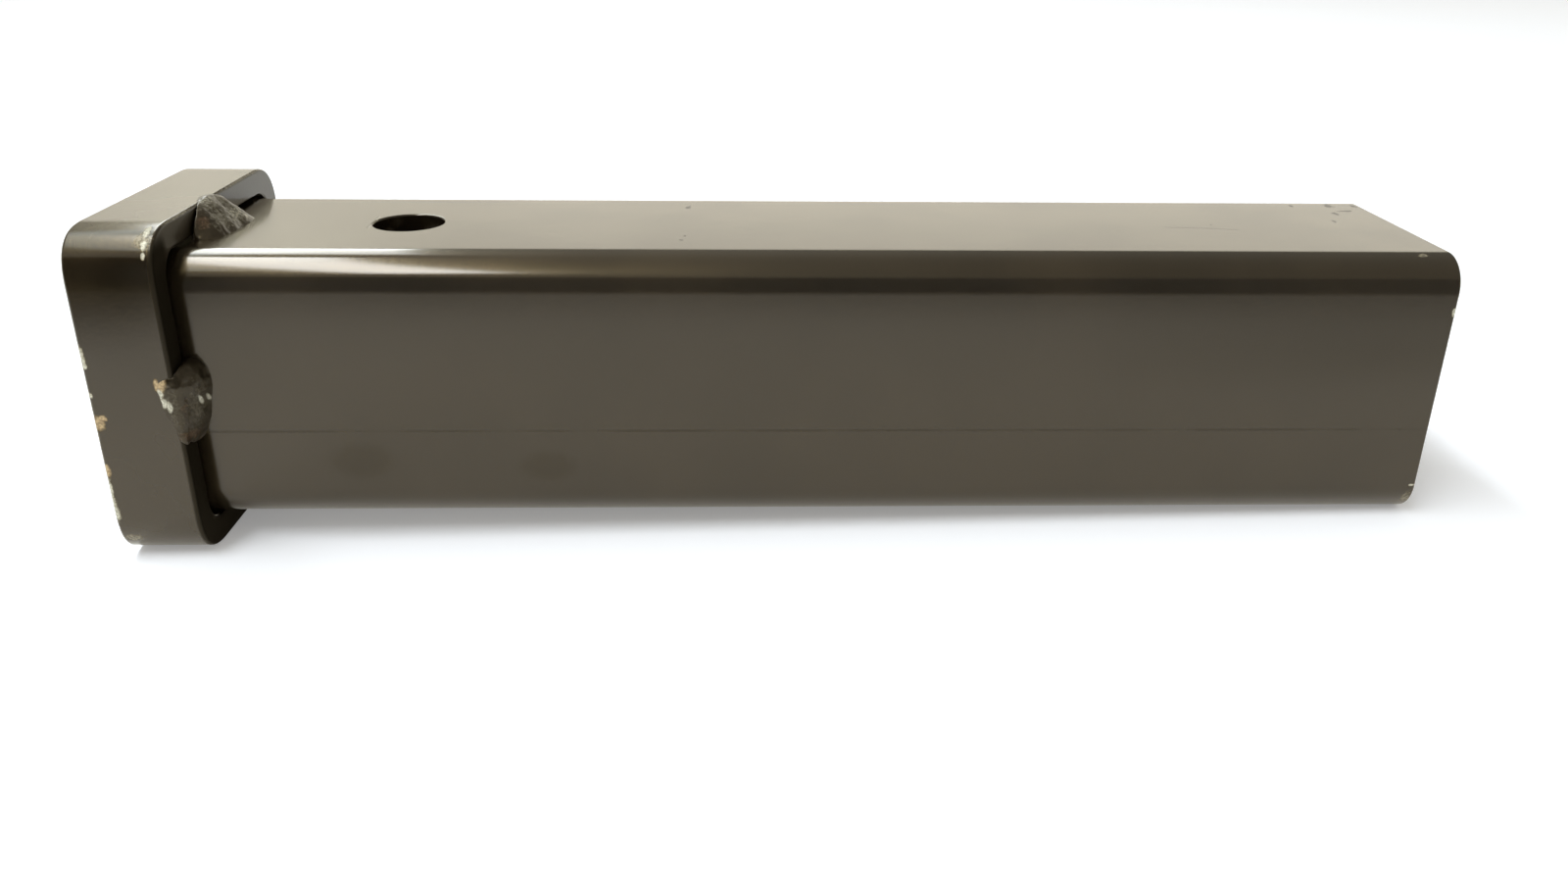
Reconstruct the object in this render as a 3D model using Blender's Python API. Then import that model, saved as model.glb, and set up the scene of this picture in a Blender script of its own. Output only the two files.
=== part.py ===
# Receiver tube: a square steel tube with a reinforcing collar round its mouth, held by four short
# fillet welds behind the collar. The hitch pin's hole goes through the top and the bottom wall.
#
# The tube's axis runs along X and the mouth faces -X. The origin lies under the middle of the part,
# level with the collar's underside. Lengths are in metres.

import math

import bmesh
import bpy

MM = 0.001

# Tube: 2.5 inch square outside, 1/4 inch wall, 12 inches long
TUBE_LENGTH = 304.8 * MM
TUBE_SIDE = 63.5 * MM
TUBE_WALL = 6.35 * MM
TUBE_CORNER_RADIUS = 7.94 * MM
TUBE_EDGE_BREAK = 0.4 * MM
SMALLEST_BORE_RADIUS = 0.8 * MM

# The mill's weld seam, scraped down to a low ridge inside the bore, on the -Y wall
SEAM_BELOW_AXIS = 9.0 * MM
SEAM_WIDTH = 3.2 * MM
SEAM_HEIGHT = 0.25 * MM

# Hole for a 5/8 inch hitch pin
PIN_HOLE_DIAMETER = 16.67 * MM
PIN_HOLE_FROM_MOUTH = 63.5 * MM
PIN_HOLE_EDGE_BREAK = 0.4 * MM

# Collar: its front is flush with the mouth, and its corners are a tight bend between two wide ones
COLLAR_WIDTH = 19.05 * MM
COLLAR_WALL = 6.0 * MM
COLLAR_CLEARANCE = 0.8 * MM
COLLAR_TIGHT_RADIUS = 9.0 * MM
COLLAR_WIDE_RADIUS = 35.0 * MM
COLLAR_WIDE_TURN = math.radians(8)
COLLAR_BORE_RADIUS = 6.5 * MM
COLLAR_EDGE_ROUND = 0.75 * MM
COLLAR_BORE_EDGE_BREAK = 0.5 * MM

# Welds: each bead fills the corner between the collar's back face and one side of the tube.
# The lap is how far it runs over the collar's outer face, the crown how far it stands above it, and
# the fullness how far its slope down to the tube bulges, from 1 for a flat one. The bluntness is how
# squarely its width ends, the end rise how squarely its height does, and the lean how much wider one
# end is than the other.
WELD_SEAT_GAP = 0.3 * MM
WELD_ROOT_DEPTH = 2.0 * MM
WELD_LAP_FULLNESS = 2.2
WELD_END_SIZE = 0.12
WELD_LUMP_HEIGHT = 0.28 * MM
WELD_LUMP_PITCH = 9.0 * MM
WELD_LUMP_DRIFT = 0.35
WELD_RIPPLE_HEIGHT = 0.05 * MM
WELD_RIPPLE_PITCH = 2.1 * MM
WELD_RIPPLE_BOW = 1.2
WELD_CREASE_DEPTH = 0.32 * MM
WELD_CREASE_PLACE = 0.47
WELD_CREASE_WIDTH = 0.11

WELDS = {
    "weld_top": {
        "turn": math.radians(0),
        "length": 23.8 * MM,
        "offset": -5.6 * MM,
        "tube_leg": 6.8 * MM,
        "lap": 2.4 * MM,
        "crown": 0.85 * MM,
        "fullness": 1.45,
        "bluntness": 4.5,
        "end_rise": 2.2,
        "lean": 0.14,
        "phase": 0.4,
    },
    "weld_front": {
        "turn": math.radians(90),
        "length": 19.4 * MM,
        "offset": -0.8 * MM,
        "tube_leg": 4.5 * MM,
        "lap": 4.5 * MM,
        "crown": 0.75 * MM,
        "fullness": 1.6,
        "bluntness": 2.4,
        "end_rise": 7.0,
        "lean": 0.42,
        "phase": 1.7,
    },
    "weld_bottom": {
        "turn": math.radians(180),
        "length": 21.0 * MM,
        "offset": 1.5 * MM,
        "tube_leg": 6.2 * MM,
        "lap": 0.0 * MM,
        "crown": -1.4 * MM,
        "fullness": 1.9,
        "bluntness": 3.0,
        "end_rise": 2.6,
        "lean": -0.1,
        "phase": 2.9,
    },
    "weld_back": {
        "turn": math.radians(270),
        "length": 22.0 * MM,
        "offset": 2.0 * MM,
        "tube_leg": 5.4 * MM,
        "lap": 4.5 * MM,
        "crown": 0.75 * MM,
        "fullness": 1.6,
        "bluntness": 2.8,
        "end_rise": 3.4,
        "lean": 0.2,
        "phase": 1.7,
    },
}

# Fineness of the curved surfaces
CORNER_STEPS = 12
COLLAR_WIDE_STEPS = 2
BORE_CORNER_STEPS = 6
EDGE_ROUND_STEPS = 3
PIN_HOLE_STEPS = 64
WELD_STATIONS = 46
WELD_LAP_STEPS = 4
WELD_FILLET_STEPS = 9
OVERCUT = 2.0 * MM
SHARP_ANGLE = math.radians(35)

# Sizes that follow from the ones above
TUBE_BORE = TUBE_SIDE - 2 * TUBE_WALL
TUBE_BORE_RADIUS = max(TUBE_CORNER_RADIUS - TUBE_WALL, SMALLEST_BORE_RADIUS)
COLLAR_BORE = TUBE_SIDE + 2 * COLLAR_CLEARANCE
COLLAR_SIDE = COLLAR_BORE + 2 * COLLAR_WALL
COLLAR_STAND = (COLLAR_SIDE - TUBE_SIDE) / 2
AXIS_HEIGHT = COLLAR_SIDE / 2


def clear_scene():
    for old in list(bpy.data.objects):
        bpy.data.objects.remove(old, do_unlink=True)


def coat(name, colour, roughness, metallic):
    """Painted steel."""
    material = bpy.data.materials.new(name)
    material.use_nodes = True
    shader = material.node_tree.nodes["Principled BSDF"]
    shader.inputs["Base Color"].default_value = (*colour, 1.0)
    shader.inputs["Roughness"].default_value = roughness
    shader.inputs["Metallic"].default_value = metallic
    return material


def add_object(name, bm, parent, material=None):
    """A mesh object at its parent's place. A cutter gets no material and stays out of renders."""
    bmesh.ops.recalc_face_normals(bm, faces=bm.faces)
    mesh = bpy.data.meshes.new(name)
    bm.to_mesh(mesh)
    bm.free()
    piece = bpy.data.objects.new(name, mesh)
    bpy.context.scene.collection.objects.link(piece)
    piece.parent = parent
    if material is None:
        piece.hide_render = True
        piece.display_type = "WIRE"
    else:
        mesh.materials.append(material)
    return piece


def add_empty(name, location=(0, 0, 0), parent=None):
    empty = bpy.data.objects.new(name, None)
    empty.location = location
    empty.parent = parent
    bpy.context.scene.collection.objects.link(empty)
    return empty


def cut(piece, cutter):
    modifier = piece.modifiers.new("cut " + cutter.name, "BOOLEAN")
    modifier.operation = "DIFFERENCE"
    modifier.solver = "EXACT"
    modifier.object = cutter


def shade(piece):
    piece.data.shade_smooth()
    piece.data.set_sharp_from_angle(angle=SHARP_ANGLE)


def square_outline(side, bends):
    """Points (y, z) round a square whose corners are made of the bends (radius, turn, steps)."""
    corner = [(0.0, 0.0)]
    heading = 0.0
    for radius, turn, steps in bends:
        for _ in range(steps):
            y, z = corner[-1]
            after = heading + turn / steps
            y += radius * (math.sin(after) - math.sin(heading))
            z += radius * (math.cos(heading) - math.cos(after))
            corner.append((y, z))
            heading = after
    reach = corner[-1][0]
    half = side / 2
    outline = []
    for quarter in range(4):
        c, s = math.cos(quarter * math.pi / 2), math.sin(quarter * math.pi / 2)
        for y, z in corner:
            y, z = half - reach + y, z - half
            outline.append((c * y - s * z, s * y + c * z))
    return outline


def tube_outline(grow=0.0):
    bend = (TUBE_CORNER_RADIUS + grow, math.pi / 2, CORNER_STEPS)
    return square_outline(TUBE_SIDE + 2 * grow, [bend])


def collar_outline(grow=0.0):
    wide = (COLLAR_WIDE_RADIUS + grow, COLLAR_WIDE_TURN, COLLAR_WIDE_STEPS)
    tight = (COLLAR_TIGHT_RADIUS + grow, math.pi / 2 - 2 * COLLAR_WIDE_TURN, CORNER_STEPS)
    return square_outline(COLLAR_SIDE + 2 * grow, [wide, tight, wide])


def collar_bore_outline(grow=0.0):
    bend = (COLLAR_BORE_RADIUS + grow, math.pi / 2, CORNER_STEPS)
    return square_outline(COLLAR_BORE + 2 * grow, [bend])


def tube_bore_outline(grow=0.0):
    """The bore, notched on its -Y side where the seam's ridge stands into it."""
    bend = (TUBE_BORE_RADIUS + grow, math.pi / 2, BORE_CORNER_STEPS)
    outline = square_outline(TUBE_BORE + 2 * grow, [bend])
    wall = -TUBE_BORE / 2 - grow
    crest = wall + SEAM_HEIGHT
    half = SEAM_WIDTH / 2
    slope = 2 * SEAM_HEIGHT
    ridge = [(wall, half), (crest, half - slope), (crest, slope - half), (wall, -half)]
    per_corner = BORE_CORNER_STEPS + 1
    before_wall = 3 * per_corner
    ridge = [(y, z - SEAM_BELOW_AXIS) for y, z in ridge]
    return outline[:before_wall] + ridge + outline[before_wall:]


def loft(sections):
    """A closed solid through sections (x, outline), all with the same number of points."""
    bm = bmesh.new()
    loops = [[bm.verts.new((x, y, z)) for y, z in outline] for x, outline in sections]
    count = len(loops[0])
    for near, far in zip(loops, loops[1:]):
        for i in range(count):
            j = (i + 1) % count
            bm.faces.new((near[i], near[j], far[j], far[i]))
    bm.faces.new(loops[0])
    bm.faces.new(loops[-1])
    return bm


def edge_round(radius, steps):
    """Pairs (distance from the end, inset) down a rounded edge, starting on the end face."""
    pairs = []
    for step in range(steps + 1):
        angle = math.pi / 2 * step / steps
        pairs.append((radius * (1 - math.cos(angle)), radius * (1 - math.sin(angle))))
    return pairs


def bar(outline, start, end, radius, steps):
    """A solid bar along X with both end edges rounded. One step makes a chamfer."""
    pairs = edge_round(radius, steps)
    sections = [(start + run, outline(-inset)) for run, inset in pairs]
    sections += [(end - run, outline(-inset)) for run, inset in reversed(pairs)]
    return loft(sections)


def bore_cutter(outline, start, end, chamfer):
    """A cutter along X that flares at both ends, so that it breaks the edges too."""
    flare = chamfer + OVERCUT
    sections = [
        (start - OVERCUT, outline(flare)),
        (start + chamfer, outline(0.0)),
        (end - chamfer, outline(0.0)),
        (end + OVERCUT, outline(flare)),
    ]
    return loft(sections)


def pin_hole_cutter():
    """A turned cutter along Z through both walls, flared at each of the four faces it crosses."""
    radius = PIN_HOLE_DIAMETER / 2
    outer, inner = TUBE_SIDE / 2, TUBE_BORE / 2
    chamfer = PIN_HOLE_EDGE_BREAK
    middle = inner - OVERCUT
    half = [
        (outer + OVERCUT, radius + chamfer + OVERCUT),
        (outer - chamfer, radius),
        (inner + chamfer, radius),
        (middle, radius + chamfer + OVERCUT),
    ]
    profile = half + [(-z, r) for z, r in reversed(half)]
    bm = bmesh.new()
    rings = []
    for z, r in profile:
        angles = [2 * math.pi * step / PIN_HOLE_STEPS for step in range(PIN_HOLE_STEPS)]
        rings.append([bm.verts.new((r * math.cos(a), r * math.sin(a), z)) for a in angles])
    for upper, lower in zip(rings, rings[1:]):
        for i in range(PIN_HOLE_STEPS):
            j = (i + 1) % PIN_HOLE_STEPS
            bm.faces.new((upper[i], lower[i], lower[j], upper[j]))
    bm.faces.new(rings[0])
    bm.faces.new(rings[-1])
    return bm


def make_tube(axis, material):
    tube = add_object("tube", bar(tube_outline, 0.0, TUBE_LENGTH, TUBE_EDGE_BREAK, 1), axis, material)
    bore = bore_cutter(tube_bore_outline, 0.0, TUBE_LENGTH, TUBE_EDGE_BREAK)
    cut(tube, add_object("tube_bore_cutter", bore, axis))
    hole = add_object("pin_hole_cutter", pin_hole_cutter(), axis)
    hole.location.x = PIN_HOLE_FROM_MOUTH
    cut(tube, hole)
    shade(tube)
    return tube


def make_collar(axis, material):
    ring = bar(collar_outline, 0.0, COLLAR_WIDTH, COLLAR_EDGE_ROUND, EDGE_ROUND_STEPS)
    collar = add_object("collar", ring, axis, material)
    bore = bore_cutter(collar_bore_outline, 0.0, COLLAR_WIDTH, COLLAR_BORE_EDGE_BREAK)
    cut(collar, add_object("collar_bore_cutter", bore, axis))
    shade(collar)
    return collar


def weld_seat_cutters(axis):
    """The tube and the collar as solid bars, each larger by the gap that a bead keeps to it."""
    gap = WELD_SEAT_GAP

    def tube_seat(inset):
        return tube_outline(gap + inset)

    def collar_seat(inset):
        return collar_outline(gap + inset)

    radius = COLLAR_EDGE_ROUND + gap
    tube = bar(tube_seat, -OVERCUT, COLLAR_WIDTH + TUBE_SIDE, gap, 1)
    collar = bar(collar_seat, -gap, COLLAR_WIDTH + gap, radius, EDGE_ROUND_STEPS)
    return [add_object("tube_seat_cutter", tube, axis), add_object("collar_seat_cutter", collar, axis)]


def bead_outline(lap, leg, stand, crest, fullness):
    """Points (out from the collar's back face, up from the tube) across a smooth bead: up from its
    toe on the collar, over its crest above the collar's edge, and down to its toe on the tube."""
    points = []
    if lap > 0:
        for step in range(WELD_LAP_STEPS):
            share = math.cos(math.pi / 2 * step / WELD_LAP_STEPS)
            points.append((-lap * share, crest - (crest - stand) * share**WELD_LAP_FULLNESS))
    for step in range(WELD_FILLET_STEPS + 1):
        share = math.sin(math.pi / 2 * step / WELD_FILLET_STEPS)
        points.append((leg * share, crest - crest * share**fullness))
    return points


def bead_relief(weld, along, across):
    """How far a bead's skin stands off its smooth outline: slow lumps, ripples that bow along the
    bead, and a crease between the part on the collar and the part on the tube."""
    place = along * weld["length"] / 2
    phase = weld["phase"]
    slow = 2 * math.pi * place / WELD_LUMP_PITCH + phase
    lumps = WELD_LUMP_HEIGHT * math.sin(slow) * math.cos(WELD_LUMP_DRIFT * slow + math.pi * across)
    quick = 2 * math.pi * place / WELD_RIPPLE_PITCH + WELD_RIPPLE_BOW * math.cos(math.pi * across)
    ripples = WELD_RIPPLE_HEIGHT * math.sin(quick)
    from_crease = (across - WELD_CREASE_PLACE) / WELD_CREASE_WIDTH
    crease = WELD_CREASE_DEPTH * math.exp(-from_crease * from_crease)
    return (lumps + ripples - crease) * math.sin(math.pi * across)


def end_taper(along, bluntness):
    """The share of its full size that a bead has at a place along it, from -1 to 1."""
    return max(1.0 - abs(along) ** bluntness, WELD_END_SIZE**bluntness) ** (1 / bluntness)


def bead_section(weld, along):
    """A bead's closed section at a place along it, from -1 to 1, with its root sunk in the corner."""
    spread = end_taper(along, weld["bluntness"]) * (1.0 + weld["lean"] * along)
    lap = weld["lap"] * spread
    leg = weld["tube_leg"] * spread
    height = end_taper(along, weld["end_rise"])
    stand = COLLAR_STAND * height
    crest = stand + weld["crown"] * height
    outline = bead_outline(lap, leg, stand, crest, weld["fullness"])
    section = []
    for step, (out, up) in enumerate(outline):
        across = step / (len(outline) - 1)
        relief = bead_relief(weld, along, across) * height
        facing = math.pi / 2 * across
        section.append((out + relief * math.sin(facing), up + relief * math.cos(facing)))
    return section + [(leg, -WELD_ROOT_DEPTH), (-lap - WELD_ROOT_DEPTH, -WELD_ROOT_DEPTH)]


def bead(weld):
    bm = bmesh.new()
    loops = []
    for station in range(WELD_STATIONS + 1):
        along = math.sin(math.pi * (station / WELD_STATIONS - 0.5))
        y = along * weld["length"] / 2
        loops.append([bm.verts.new((out, y, up)) for out, up in bead_section(weld, along)])
    count = len(loops[0])
    for near, far in zip(loops, loops[1:]):
        for i in range(count):
            j = (i + 1) % count
            bm.faces.new((near[i], near[j], far[j], far[i]))
    bm.faces.new(loops[0])
    bm.faces.new(loops[-1])
    return bm


def make_welds(axis, material):
    cutters = weld_seat_cutters(axis)
    for name, weld in WELDS.items():
        side = add_empty(name + "_side", parent=axis)
        side.rotation_euler.x = weld["turn"]
        piece = add_object(name, bead(weld), side, material)
        piece.location = (COLLAR_WIDTH, weld["offset"], TUBE_SIDE / 2)
        for cutter in cutters:
            cut(piece, cutter)
        shade(piece)


def main():
    clear_scene()
    axis = add_empty("mouth_centre", (-TUBE_LENGTH / 2, 0.0, AXIS_HEIGHT))
    make_tube(axis, coat("tube_coat", (0.048, 0.042, 0.034), 0.32, 0.0))
    make_collar(axis, coat("collar_coat", (0.050, 0.045, 0.036), 0.36, 0.0))
    make_welds(axis, coat("weld_coat", (0.046, 0.041, 0.034), 0.42, 0.0))


main()
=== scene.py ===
# Receiver tube: its pieces remade finely over the imported model, their worn near-black coat with
# painted shade, glints and sheen, and the pale studio that it is seen in. The mouth faces -X and the
# camera stands on the -Y side.
# Lengths are in metres.

import math

import bmesh
import bpy
from mathutils import Matrix, Vector


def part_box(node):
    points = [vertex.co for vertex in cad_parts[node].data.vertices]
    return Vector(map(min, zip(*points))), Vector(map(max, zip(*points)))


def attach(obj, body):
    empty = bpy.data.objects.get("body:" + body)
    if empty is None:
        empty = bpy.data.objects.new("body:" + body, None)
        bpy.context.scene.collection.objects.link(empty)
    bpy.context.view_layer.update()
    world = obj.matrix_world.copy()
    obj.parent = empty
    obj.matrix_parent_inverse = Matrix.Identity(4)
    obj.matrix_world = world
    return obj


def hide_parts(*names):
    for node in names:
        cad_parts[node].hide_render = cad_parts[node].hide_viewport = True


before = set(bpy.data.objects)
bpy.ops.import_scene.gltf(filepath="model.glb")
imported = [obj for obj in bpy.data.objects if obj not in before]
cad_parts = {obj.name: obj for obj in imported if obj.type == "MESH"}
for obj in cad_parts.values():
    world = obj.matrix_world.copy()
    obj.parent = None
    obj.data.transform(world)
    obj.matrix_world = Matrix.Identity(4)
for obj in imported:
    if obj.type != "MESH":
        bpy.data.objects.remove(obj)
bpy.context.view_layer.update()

MM = 0.001

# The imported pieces' places
TUBE_LOW, TUBE_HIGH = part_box("tube")
COLLAR_LOW, COLLAR_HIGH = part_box("collar")
MOUTH = TUBE_LOW.x
REAR = TUBE_HIGH.x
TUBE_TOP = TUBE_HIGH.z
TUBE_SIDE = TUBE_HIGH.y
COLLAR_BACK = COLLAR_HIGH.x
COLLAR_TOP = COLLAR_HIGH.z
COLLAR_SIDE = COLLAR_HIGH.y
AXIS_HEIGHT = (COLLAR_LOW.z + COLLAR_HIGH.z) / 2

# Tube
TUBE_WALL = 6.35 * MM
TUBE_CORNER_RADIUS = 7.94 * MM
TUBE_EDGE_BREAK = 0.4 * MM
PIN_HOLE_RADIUS = 16.67 / 2 * MM
PIN_HOLE_X = MOUTH + 63.5 * MM
PIN_HOLE_EDGE_BREAK = 0.4 * MM
SEAM_Z = AXIS_HEIGHT - 9.0 * MM
SEAM_HALF_WIDTH = 1.6 * MM
SEAM_HEIGHT = 0.25 * MM
SEAM_SLOPE = 0.5 * MM

# Collar: a superellipse of this profile has the formed bar's corner, a tight bend between wide ones
COLLAR_CORNER_REACH = 12.87 * MM
COLLAR_CORNER_PROFILE = 0.6014
COLLAR_BORE_HALF = TUBE_SIDE + 0.8 * MM
COLLAR_BORE_RADIUS = 6.5 * MM
COLLAR_EDGE_ROUND = 0.75 * MM
COLLAR_BORE_EDGE_BREAK = 0.5 * MM

# Weld beads. Melting is the number of smoothing steps that a bead gets.
WELD_GRAIN = 0.22 * MM
WELD_SINK = 0.25 * MM
WELD_SPREAD = 1.10
WELD_MELTING = 20
TOP_WELD_MELTING = 30
WELD_MELTING_STEP = 0.5
WELD_LUMP_SIZE = 2.2 * MM
WELD_LUMP_HEIGHT = 0.32 * MM
WELD_LUMP_DETAIL = 2
WELD_LUMP_MIDDLE = 0.55
BEADS = [
    ("weld_top", "top_bead", (0, 0, 1), TOP_WELD_MELTING),
    ("weld_front", "front_bead", (0, -1, 0), WELD_MELTING),
    ("weld_bottom", "bottom_bead", (0, 0, -1), WELD_MELTING),
    ("weld_back", "back_bead", (0, 1, 0), WELD_MELTING),
]

# Fineness
CORNER_SEGMENTS = 20
EDGE_SEGMENTS = 3
HOLE_SIDES = 128
ROUND_PROFILE = 0.5
SMOOTH_ANGLE = math.radians(35)
OVERCUT = 2.0 * MM

# How closely an edge, a face or a vertex has to match to be picked
ALONG_AXIS = 0.9
JOIN_DISTANCE = 0.001 * MM
END_TOLERANCE = 0.01 * MM
RIM_TOLERANCE = 0.05 * MM
BORE_TOLERANCE = 0.1 * MM


def pick_none():
    bpy.ops.object.select_all(action="DESELECT")


def make_active(piece):
    pick_none()
    piece.select_set(True)
    bpy.context.view_layer.objects.active = piece


def start_edit(piece):
    make_active(piece)
    bpy.ops.object.mode_set(mode="EDIT")


def end_edit():
    bpy.ops.object.mode_set(mode="OBJECT")


def pick(kind, chosen):
    """In edit mode, selects only the vertices, edges or faces that chosen says yes to."""
    bpy.ops.mesh.select_mode(type=kind)
    bpy.ops.mesh.select_all(action="DESELECT")
    bm = bmesh.from_edit_mesh(bpy.context.object.data)
    parts = {"VERT": bm.verts, "EDGE": bm.edges, "FACE": bm.faces}[kind]
    for part in parts:
        part.select_set(chosen(part))
    bm.select_flush_mode()
    bmesh.update_edit_mesh(bpy.context.object.data)


def block(name, low, high):
    """A plain block between two corners, as a start for a piece."""
    bpy.ops.mesh.primitive_cube_add(size=1.0, location=(low + high) / 2, scale=high - low)
    piece = bpy.context.object
    piece.name = name
    bpy.ops.object.transform_apply(location=True, rotation=True, scale=True)
    return piece


def runs_along_x(edge):
    run = edge.verts[1].co - edge.verts[0].co
    return abs(run.x) > ALONG_AXIS * run.length


def faces_along_x(face):
    return abs(face.normal.x) > ALONG_AXIS


def round_long_edges(piece, reach, profile):
    start_edit(piece)
    pick("EDGE", runs_along_x)
    bpy.ops.mesh.bevel(offset=reach, segments=CORNER_SEGMENTS, profile=profile, affect="EDGES")
    end_edit()


def break_edges(piece, width, segments, chosen):
    start_edit(piece)
    pick("EDGE", chosen)
    bpy.ops.mesh.bevel(offset=width, segments=segments, affect="EDGES", clamp_overlap=False)
    end_edit()


def cut_away(piece, cutter):
    """Cuts the cutter out of the piece and throws the cutter away."""
    make_active(piece)
    modifier = piece.modifiers.new("cut", "BOOLEAN")
    modifier.operation = "DIFFERENCE"
    modifier.solver = "EXACT"
    modifier.object = cutter
    bpy.ops.object.modifier_apply(modifier="cut")
    bpy.data.objects.remove(cutter, do_unlink=True)


def smooth_with_flat_faces(piece):
    """Smooth shading that keeps the large faces flat up to their rounded edges."""
    make_active(piece)
    bpy.ops.object.shade_smooth_by_angle(angle=SMOOTH_ANGLE)
    modifier = piece.modifiers.new("flat faces", "WEIGHTED_NORMAL")
    modifier.mode = "FACE_AREA"
    modifier.keep_sharp = True
    bpy.ops.object.modifier_apply(modifier="flat faces")


def scrape_seam_ridge(piece):
    """The mill's seam, left as a low ridge on the bore's -Y wall."""
    wall = -TUBE_SIDE + TUBE_WALL
    crest_half = SEAM_HALF_WIDTH - SEAM_SLOPE
    levels = [-SEAM_HALF_WIDTH, -crest_half, crest_half, SEAM_HALF_WIDTH]

    def on_wall(face):
        from_wall = abs(face.calc_center_median().y - wall)
        return face.normal.y > ALONG_AXIS and from_wall < TUBE_EDGE_BREAK

    def on_crest(vert):
        inner = SEAM_HALF_WIDTH - SEAM_SLOPE / 2
        return abs(vert.co.y - wall) < TUBE_EDGE_BREAK / 2 and abs(vert.co.z - SEAM_Z) < inner

    start_edit(piece)
    for level in levels:
        pick("FACE", on_wall)
        bpy.ops.mesh.bisect(plane_co=(0, 0, SEAM_Z + level), plane_no=(0, 0, 1))
    pick("VERT", on_crest)
    bpy.ops.transform.translate(value=(0, SEAM_HEIGHT, 0))
    end_edit()


def drill_pin_hole(piece):
    bpy.ops.mesh.primitive_cylinder_add(
        vertices=HOLE_SIDES,
        radius=PIN_HOLE_RADIUS,
        depth=COLLAR_TOP,
        location=(PIN_HOLE_X, 0, AXIS_HEIGHT),
    )
    cut_away(piece, bpy.context.object)

    def on_rim(edge):
        for vert in edge.verts:
            from_axis = math.hypot(vert.co.x - PIN_HOLE_X, vert.co.y)
            if abs(from_axis - PIN_HOLE_RADIUS) > RIM_TOLERANCE:
                return False
        return abs(edge.verts[0].co.z - edge.verts[1].co.z) < RIM_TOLERANCE

    break_edges(piece, PIN_HOLE_EDGE_BREAK, EDGE_SEGMENTS, on_rim)


def model_tube():
    tube = block("square_tube", TUBE_LOW, TUBE_HIGH)
    round_long_edges(tube, TUBE_CORNER_RADIUS, ROUND_PROFILE)
    start_edit(tube)
    pick("FACE", faces_along_x)
    bpy.ops.mesh.inset(thickness=TUBE_WALL)
    bpy.ops.mesh.bridge_edge_loops()
    bpy.ops.mesh.select_all(action="SELECT")
    bpy.ops.mesh.normals_make_consistent(inside=False)
    end_edit()

    def at_end(edge):
        ends = [abs(abs(vert.co.x) - REAR) < END_TOLERANCE for vert in edge.verts]
        return all(ends) and any(not faces_along_x(face) for face in edge.link_faces)

    break_edges(tube, TUBE_EDGE_BREAK, EDGE_SEGMENTS, at_end)
    scrape_seam_ridge(tube)
    drill_pin_hole(tube)
    smooth_with_flat_faces(tube)
    return tube


def model_collar():
    collar = block("mouth_collar", COLLAR_LOW, COLLAR_HIGH)
    round_long_edges(collar, COLLAR_CORNER_REACH, COLLAR_CORNER_PROFILE)

    def at_outer_end(edge):
        return not runs_along_x(edge)

    break_edges(collar, COLLAR_EDGE_ROUND, EDGE_SEGMENTS + 1, at_outer_end)
    reach = Vector((OVERCUT, 0, 0))
    half = Vector((0, COLLAR_BORE_HALF, COLLAR_BORE_HALF))
    middle = Vector((0, 0, AXIS_HEIGHT))
    start = Vector((MOUTH, 0, 0)) + middle - half - reach
    end = Vector((COLLAR_BACK, 0, 0)) + middle + half + reach
    bore = block("collar_bore", start, end)
    round_long_edges(bore, COLLAR_BORE_RADIUS, ROUND_PROFILE)
    cut_away(collar, bore)

    def at_bore_end(edge):
        limit = COLLAR_BORE_HALF + BORE_TOLERANCE
        across = max(abs(vert.co.y) for vert in edge.verts)
        height = max(abs(vert.co.z - AXIS_HEIGHT) for vert in edge.verts)
        rim = any(not faces_along_x(face) for face in edge.link_faces)
        return across < limit and height < limit and rim and not runs_along_x(edge)

    break_edges(collar, COLLAR_BORE_EDGE_BREAK, EDGE_SEGMENTS, at_bore_end)
    smooth_with_flat_faces(collar)
    return collar


def rough_skin(piece):
    """Pushes a bead's skin in and out by cloudy lumps."""
    clouds = bpy.data.textures.new("lumps", "CLOUDS")
    clouds.noise_scale = WELD_LUMP_SIZE
    clouds.noise_depth = WELD_LUMP_DETAIL
    modifier = piece.modifiers.new("lumps", "DISPLACE")
    modifier.texture = clouds
    modifier.texture_coords = "LOCAL"
    modifier.strength = WELD_LUMP_HEIGHT
    modifier.mid_level = WELD_LUMP_MIDDLE
    bpy.ops.object.modifier_apply(modifier="lumps")


def model_bead(node, name, outwards, melting):
    """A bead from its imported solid: a finer skin, sunk a little so that it melts into both pieces."""
    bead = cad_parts[node].copy()
    bead.data = bead.data.copy()
    bead.parent = None
    bead.name = name
    for mark in list(bead.keys()):
        del bead[mark]
    bpy.context.scene.collection.objects.link(bead)
    start_edit(bead)
    bpy.ops.mesh.select_all(action="SELECT")
    bpy.ops.mesh.remove_doubles(threshold=JOIN_DISTANCE)
    end_edit()
    remesh = bead.modifiers.new("fine skin", "REMESH")
    remesh.mode = "VOXEL"
    remesh.voxel_size = WELD_GRAIN
    bpy.ops.object.modifier_apply(modifier="fine skin")
    low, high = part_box(node)
    half = (high - low) / 2
    crest = (low + high) / 2 + Vector([reach * part for reach, part in zip(half, outwards)])
    crest.x = low.x
    spread = [WELD_SPREAD if part else 1.0 for part in (1.0, outwards.y, outwards.z)]
    start_edit(bead)
    bpy.ops.mesh.select_all(action="SELECT")
    bpy.ops.transform.resize(value=spread, center_override=crest)
    bpy.ops.transform.translate(value=Vector((-WELD_SINK, 0, 0)) - outwards * WELD_SINK)
    end_edit()
    smooth = bead.modifiers.new("melt", "SMOOTH")
    smooth.factor = WELD_MELTING_STEP
    smooth.iterations = melting
    bpy.ops.object.modifier_apply(modifier="melt")
    rough_skin(bead)
    bpy.ops.object.shade_smooth()
    return bead


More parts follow.
